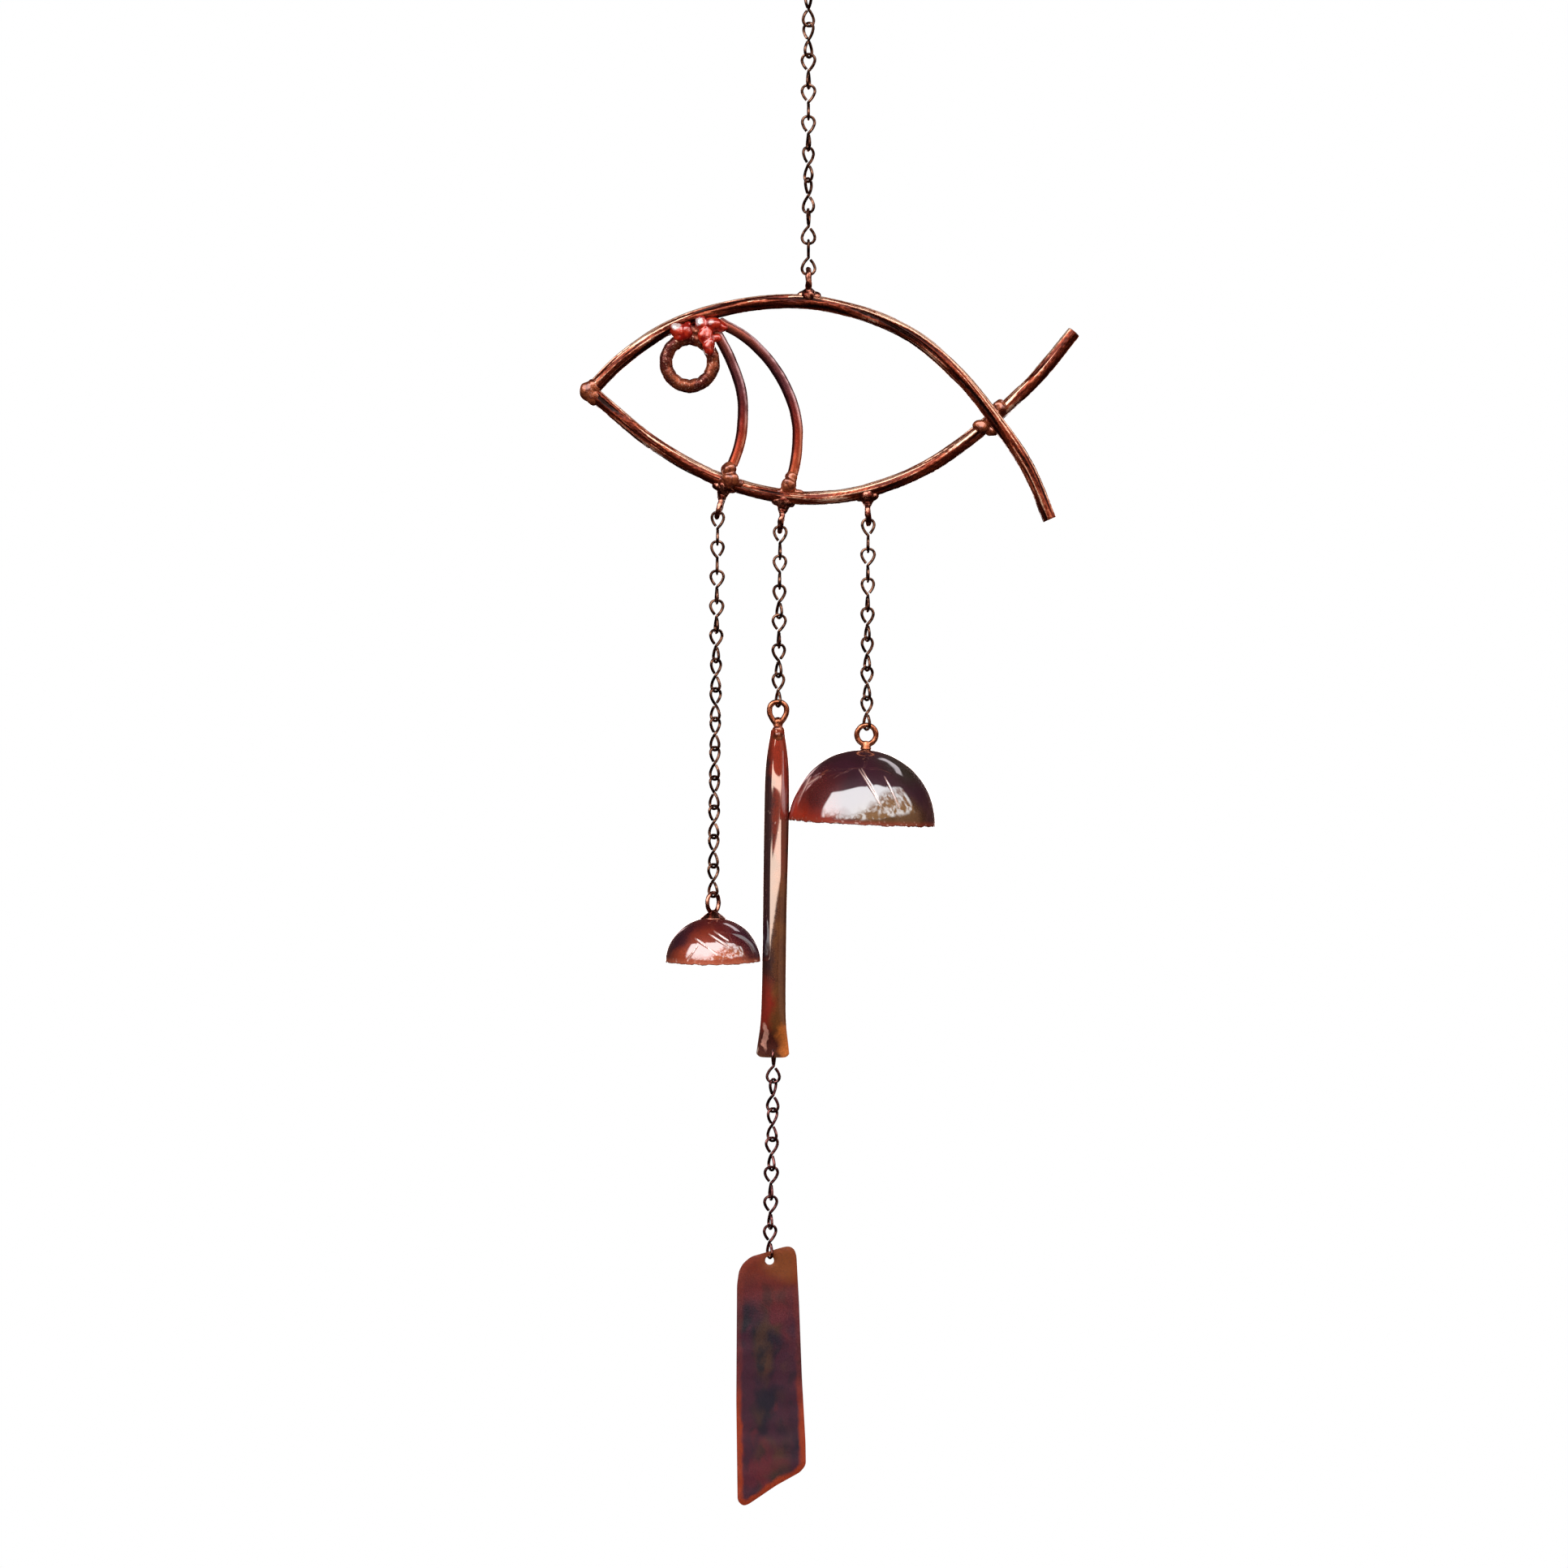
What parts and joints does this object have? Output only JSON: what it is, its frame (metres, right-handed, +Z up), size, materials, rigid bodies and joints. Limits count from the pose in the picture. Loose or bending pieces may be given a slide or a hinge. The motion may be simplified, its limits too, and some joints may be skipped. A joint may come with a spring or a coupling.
{
  "type": "wind chime",
  "caption": "Hanging copper wind chime: an open fish outline of bent rod on a jack chain carries two domed bells, a tube that strikes them and a flat wind sail.",
  "frame": {"origin": "underside of the hanging hook's top bend, where the nail or branch bears on it", "axes": "+Z up, along the chain that holds it; +X towards the fish's tail; the fish's flat frame lies in the XZ plane and is seen from -Y"},
  "size_m": [0.2791, 0.0824, 0.9174],
  "materials": {
    "hook_bronze": "aged bronze wire, satin",
    "chain_bronze": "aged bronze-brown wire, satin, bright on the worn edges",
    "rod_copper": "hammered copper rod, polished, dark in the grooves",
    "eye_copper": "dark copper, polished",
    "gill_copper": "smooth copper rod, flame-coloured purple to orange",
    "small_bell_loop_copper": "dark copper wire",
    "small_bell_lacquer": "flame-coloured maroon copper under clear lacquer",
    "bell_loop_copper": "copper wire, polished",
    "large_bell_lacquer": "flame-coloured plum and red copper under clear lacquer",
    "striker_lacquer": "red-brown and olive copper tube under clear lacquer",
    "sail_patina": "flame-patinated copper sheet, satin"
  },
  "bodies": {
    "hook": {"hanging_hook": "hook_bronze"},
    "top_chain_link_01": {"top_chain_link_01": "chain_bronze"},
    "top_chain_link_02": {"top_chain_link_02": "chain_bronze"},
    "top_chain_link_03": {"top_chain_link_03": "chain_bronze"},
    "top_chain_link_04": {"top_chain_link_04": "chain_bronze"},
    "top_chain_link_05": {"top_chain_link_05": "chain_bronze"},
    "top_chain_link_06": {"top_chain_link_06": "chain_bronze"},
    "top_chain_link_07": {"top_chain_link_07": "chain_bronze"},
    "top_chain_link_08": {"top_chain_link_08": "chain_bronze"},
    "top_chain_link_09": {"top_chain_link_09": "chain_bronze"},
    "top_chain_link_10": {"top_chain_link_10": "chain_bronze"},
    "fish_frame": {"back_rod": "rod_copper", "belly_rod": "rod_copper", "eye_ring": "eye_copper", "front_gill": "gill_copper", "rear_gill": "gill_copper", "top_hanger_eye": "rod_copper", "left_hanger_eye": "rod_copper", "middle_hanger_eye": "rod_copper", "right_hanger_eye": "rod_copper"},
    "left_chain_link_01": {"left_chain_link_01": "chain_bronze"},
    "left_chain_link_02": {"left_chain_link_02": "chain_bronze"},
    "left_chain_link_03": {"left_chain_link_03": "chain_bronze"},
    "left_chain_link_04": {"left_chain_link_04": "chain_bronze"},
    "left_chain_link_05": {"left_chain_link_05": "chain_bronze"},
    "left_chain_link_06": {"left_chain_link_06": "chain_bronze"},
    "left_chain_link_07": {"left_chain_link_07": "chain_bronze"},
    "left_chain_link_08": {"left_chain_link_08": "chain_bronze"},
    "left_chain_link_09": {"left_chain_link_09": "chain_bronze"},
    "left_chain_link_10": {"left_chain_link_10": "chain_bronze"},
    "left_chain_link_11": {"left_chain_link_11": "chain_bronze"},
    "left_chain_link_12": {"left_chain_link_12": "chain_bronze"},
    "left_chain_link_13": {"left_chain_link_13": "chain_bronze"},
    "middle_chain_link_01": {"middle_chain_link_01": "chain_bronze"},
    "middle_chain_link_02": {"middle_chain_link_02": "chain_bronze"},
    "middle_chain_link_03": {"middle_chain_link_03": "chain_bronze"},
    "middle_chain_link_04": {"middle_chain_link_04": "chain_bronze"},
    "middle_chain_link_05": {"middle_chain_link_05": "chain_bronze"},
    "middle_chain_link_06": {"middle_chain_link_06": "chain_bronze"},
    "right_chain_link_01": {"right_chain_link_01": "chain_bronze"},
    "right_chain_link_02": {"right_chain_link_02": "chain_bronze"},
    "right_chain_link_03": {"right_chain_link_03": "chain_bronze"},
    "right_chain_link_04": {"right_chain_link_04": "chain_bronze"},
    "right_chain_link_05": {"right_chain_link_05": "chain_bronze"},
    "right_chain_link_06": {"right_chain_link_06": "chain_bronze"},
    "right_chain_link_07": {"right_chain_link_07": "chain_bronze"},
    "small_bell": {"small_bell_loop": "small_bell_loop_copper", "small_bell_dome": "small_bell_lacquer"},
    "large_bell": {"large_bell_loop": "bell_loop_copper", "large_bell_dome": "large_bell_lacquer"},
    "striker": {"striker_loop": "bell_loop_copper", "striker_tube": "striker_lacquer"},
    "lower_chain_link_01": {"lower_chain_link_01": "chain_bronze"},
    "lower_chain_link_02": {"lower_chain_link_02": "chain_bronze"},
    "lower_chain_link_03": {"lower_chain_link_03": "chain_bronze"},
    "lower_chain_link_04": {"lower_chain_link_04": "chain_bronze"},
    "lower_chain_link_05": {"lower_chain_link_05": "chain_bronze"},
    "lower_chain_link_06": {"lower_chain_link_06": "chain_bronze"},
    "lower_chain_link_07": {"lower_chain_link_07": "chain_bronze"},
    "wind_sail": {"wind_sail": "sail_patina"}
  },
  "joints": [
    {"name": "fish_turn", "type": "hinge", "parent": "top_chain_link_10", "child": "fish_frame", "pos_m": [0, 0, -0.2243], "axis": [0, 0, 1], "range_deg": [-30, 30]},
    {"name": "bell_large_swing", "type": "hinge", "parent": "right_chain_link_07", "child": "large_bell", "pos_m": [0.0326, 0, -0.4776], "axis": [1, 0, 0], "range_deg": [-15, 15]},
    {"name": "bell_small_swing", "type": "hinge", "parent": "left_chain_link_13", "child": "small_bell", "pos_m": [-0.0533, 0, -0.5711], "axis": [1, 0, 0], "range_deg": [-30, 30]},
    {"name": "striker_swing", "type": "hinge", "parent": "middle_chain_link_06", "child": "striker", "pos_m": [-0.0169, 0, -0.4647], "axis": [1, 0, 0], "range_deg": [-15, 15]},
    {"name": "sail_swing", "type": "hinge", "parent": "lower_chain_link_07", "child": "wind_sail", "pos_m": [-0.0217, 0, -0.7737], "axis": [1, 0, 0], "range_deg": [-35, 35]},
    {"name": "swing_of_top_chain_link_01", "type": "hinge", "parent": "hook", "child": "top_chain_link_01", "pos_m": [0, 0, -0.0521], "axis": [1, 0, 0], "range_deg": [-20, 20]},
    {"name": "swing_of_left_chain_link_01", "type": "hinge", "parent": "fish_frame", "child": "left_chain_link_01", "pos_m": [-0.0505, 0, -0.358], "axis": [1, 0, 0], "range_deg": [-25, 25]},
    {"name": "swing_of_middle_chain_link_01", "type": "hinge", "parent": "fish_frame", "child": "middle_chain_link_01", "pos_m": [-0.0157, 0, -0.366], "axis": [1, 0, 0], "range_deg": [-25, 25]},
    {"name": "swing_of_right_chain_link_01", "type": "hinge", "parent": "fish_frame", "child": "right_chain_link_01", "pos_m": [0.0334, 0, -0.362], "axis": [1, 0, 0], "range_deg": [-25, 25]},
    {"name": "swing_of_lower_chain_link_01", "type": "hinge", "parent": "striker", "child": "lower_chain_link_01", "pos_m": [-0.0193, 0, -0.6587], "axis": [0, 1, 0], "range_deg": [-25, 25]},
    {"name": "swing_of_top_chain_link_02", "type": "hinge", "parent": "top_chain_link_01", "child": "top_chain_link_02", "pos_m": [0, 0, -0.06932], "axis": [0, 1, 0], "range_deg": [-25, 25]},
    {"name": "swing_of_left_chain_link_02", "type": "hinge", "parent": "left_chain_link_01", "child": "left_chain_link_02", "pos_m": [-0.05072, 0, -0.37439], "axis": [0, 1, 0], "range_deg": [0, 10]},
    {"name": "swing_of_middle_chain_link_02", "type": "hinge", "parent": "middle_chain_link_01", "child": "middle_chain_link_02", "pos_m": [-0.0159, 0, -0.38245], "axis": [-1, 0, 0], "range_deg": [-25, 25]},
    {"name": "swing_of_right_chain_link_02", "type": "hinge", "parent": "right_chain_link_01", "child": "right_chain_link_02", "pos_m": [0.03329, 0, -0.37851], "axis": [0, -1, 0], "range_deg": [0, 14]},
    {"name": "swing_of_lower_chain_link_02", "type": "hinge", "parent": "lower_chain_link_01", "child": "lower_chain_link_02", "pos_m": [-0.01964, 0, -0.67513], "axis": [1, 0, 0], "range_deg": [-25, 25]},
    {"name": "swing_of_top_chain_link_03", "type": "hinge", "parent": "top_chain_link_02", "child": "top_chain_link_03", "pos_m": [0, 0, -0.08654], "axis": [-1, 0, 0], "range_deg": [-25, 25]},
    {"name": "swing_of_left_chain_link_03", "type": "hinge", "parent": "left_chain_link_02", "child": "left_chain_link_03", "pos_m": [-0.05093, 0, -0.39078], "axis": [-1, 0, 0], "range_deg": [-25, 25]},
    {"name": "swing_of_middle_chain_link_03", "type": "hinge", "parent": "middle_chain_link_02", "child": "middle_chain_link_03", "pos_m": [-0.0161, 0, -0.3989], "axis": [1, 0, 0], "range_deg": [-25, 25]},
    {"name": "swing_of_right_chain_link_03", "type": "hinge", "parent": "right_chain_link_02", "child": "right_chain_link_03", "pos_m": [0.03317, 0, -0.39503], "axis": [-1, 0, 0], "range_deg": [-25, 25]},
    {"name": "swing_of_lower_chain_link_03", "type": "hinge", "parent": "lower_chain_link_02", "child": "lower_chain_link_03", "pos_m": [-0.01999, 0, -0.69156], "axis": [0, -1, 0], "range_deg": [-25, 25]},
    {"name": "swing_of_top_chain_link_04", "type": "hinge", "parent": "top_chain_link_03", "child": "top_chain_link_04", "pos_m": [0, 0, -0.10376], "axis": [0, -1, 0], "range_deg": [-25, 25]},
    {"name": "swing_of_left_chain_link_04", "type": "hinge", "parent": "left_chain_link_03", "child": "left_chain_link_04", "pos_m": [-0.05115, 0, -0.40718], "axis": [0, 1, 0], "range_deg": [0, 10]},
    {"name": "swing_of_middle_chain_link_04", "type": "hinge", "parent": "middle_chain_link_03", "child": "middle_chain_link_04", "pos_m": [-0.0163, 0, -0.41535], "axis": [-1, 0, 0], "range_deg": [-25, 25]},
    {"name": "swing_of_right_chain_link_04", "type": "hinge", "parent": "right_chain_link_03", "child": "right_chain_link_04", "pos_m": [0.03306, 0, -0.41154], "axis": [0, -1, 0], "range_deg": [0, 14]},
    {"name": "swing_of_lower_chain_link_04", "type": "hinge", "parent": "lower_chain_link_03", "child": "lower_chain_link_04", "pos_m": [-0.02033, 0, -0.70799], "axis": [-1, 0, 0], "range_deg": [-25, 25]},
    {"name": "swing_of_top_chain_link_05", "type": "hinge", "parent": "top_chain_link_04", "child": "top_chain_link_05", "pos_m": [0, 0, -0.12098], "axis": [1, 0, 0], "range_deg": [-25, 25]},
    {"name": "swing_of_left_chain_link_05", "type": "hinge", "parent": "left_chain_link_04", "child": "left_chain_link_05", "pos_m": [-0.05136, 0, -0.42357], "axis": [1, 0, 0], "range_deg": [-25, 25]},
    {"name": "swing_of_middle_chain_link_05", "type": "hinge", "parent": "middle_chain_link_04", "child": "middle_chain_link_05", "pos_m": [-0.0165, 0, -0.4318], "axis": [1, 0, 0], "range_deg": [-25, 25]},
    {"name": "swing_of_right_chain_link_05", "type": "hinge", "parent": "right_chain_link_04", "child": "right_chain_link_05", "pos_m": [0.03294, 0, -0.42806], "axis": [1, 0, 0], "range_deg": [-25, 25]},
    {"name": "swing_of_lower_chain_link_05", "type": "hinge", "parent": "lower_chain_link_04", "child": "lower_chain_link_05", "pos_m": [-0.02067, 0, -0.72441], "axis": [0, 1, 0], "range_deg": [-25, 25]},
    {"name": "swing_of_top_chain_link_06", "type": "hinge", "parent": "top_chain_link_05", "child": "top_chain_link_06", "pos_m": [0, 0, -0.1382], "axis": [0, 1, 0], "range_deg": [-25, 25]},
    {"name": "swing_of_left_chain_link_06", "type": "hinge", "parent": "left_chain_link_05", "child": "left_chain_link_06", "pos_m": [-0.05158, 0, -0.43996], "axis": [0, 1, 0], "range_deg": [0, 10]},
    {"name": "swing_of_middle_chain_link_06", "type": "hinge", "parent": "middle_chain_link_05", "child": "middle_chain_link_06", "pos_m": [-0.0167, 0, -0.44825], "axis": [-1, 0, 0], "range_deg": [-25, 25]},
    {"name": "swing_of_right_chain_link_06", "type": "hinge", "parent": "right_chain_link_05", "child": "right_chain_link_06", "pos_m": [0.03283, 0, -0.44457], "axis": [0, -1, 0], "range_deg": [0, 14]},
    {"name": "swing_of_lower_chain_link_06", "type": "hinge", "parent": "lower_chain_link_05", "child": "lower_chain_link_06", "pos_m": [-0.02101, 0, -0.74084], "axis": [1, 0, 0], "range_deg": [-25, 25]},
    {"name": "swing_of_top_chain_link_07", "type": "hinge", "parent": "top_chain_link_06", "child": "top_chain_link_07", "pos_m": [0, 0, -0.15542], "axis": [-1, 0, 0], "range_deg": [-25, 25]},
    {"name": "swing_of_left_chain_link_07", "type": "hinge", "parent": "left_chain_link_06", "child": "left_chain_link_07", "pos_m": [-0.05179, 0, -0.45635], "axis": [-1, 0, 0], "range_deg": [-25, 25]},
    {"name": "swing_of_right_chain_link_07", "type": "hinge", "parent": "right_chain_link_06", "child": "right_chain_link_07", "pos_m": [0.03271, 0, -0.46109], "axis": [-1, 0, 0], "range_deg": [-25, 25]},
    {"name": "swing_of_lower_chain_link_07", "type": "hinge", "parent": "lower_chain_link_06", "child": "lower_chain_link_07", "pos_m": [-0.02136, 0, -0.75727], "axis": [0, 0, 1], "range_deg": [-25, 25]},
    {"name": "swing_of_top_chain_link_08", "type": "hinge", "parent": "top_chain_link_07", "child": "top_chain_link_08", "pos_m": [0, 0, -0.17264], "axis": [0, -1, 0], "range_deg": [-25, 25]},
    {"name": "swing_of_left_chain_link_08", "type": "hinge", "parent": "left_chain_link_07", "child": "left_chain_link_08", "pos_m": [-0.05201, 0, -0.47275], "axis": [0, 1, 0], "range_deg": [0, 10]},
    {"name": "swing_of_top_chain_link_09", "type": "hinge", "parent": "top_chain_link_08", "child": "top_chain_link_09", "pos_m": [0, 0, -0.18986], "axis": [1, 0, 0], "range_deg": [-25, 25]},
    {"name": "swing_of_left_chain_link_09", "type": "hinge", "parent": "left_chain_link_08", "child": "left_chain_link_09", "pos_m": [-0.05222, 0, -0.48914], "axis": [1, 0, 0], "range_deg": [-25, 25]},
    {"name": "swing_of_top_chain_link_10", "type": "hinge", "parent": "top_chain_link_09", "child": "top_chain_link_10", "pos_m": [0, 0, -0.20708], "axis": [0, 1, 0], "range_deg": [-25, 25]},
    {"name": "swing_of_left_chain_link_10", "type": "hinge", "parent": "left_chain_link_09", "child": "left_chain_link_10", "pos_m": [-0.05244, 0, -0.50553], "axis": [0, 1, 0], "range_deg": [0, 10]},
    {"name": "swing_of_left_chain_link_11", "type": "hinge", "parent": "left_chain_link_10", "child": "left_chain_link_11", "pos_m": [-0.05265, 0, -0.52192], "axis": [-1, 0, 0], "range_deg": [-25, 25]},
    {"name": "swing_of_left_chain_link_12", "type": "hinge", "parent": "left_chain_link_11", "child": "left_chain_link_12", "pos_m": [-0.05287, 0, -0.53831], "axis": [0, 1, 0], "range_deg": [0, 10]},
    {"name": "swing_of_left_chain_link_13", "type": "hinge", "parent": "left_chain_link_12", "child": "left_chain_link_13", "pos_m": [-0.05309, 0, -0.55471], "axis": [1, 0, 0], "range_deg": [-25, 25]}
  ]
}
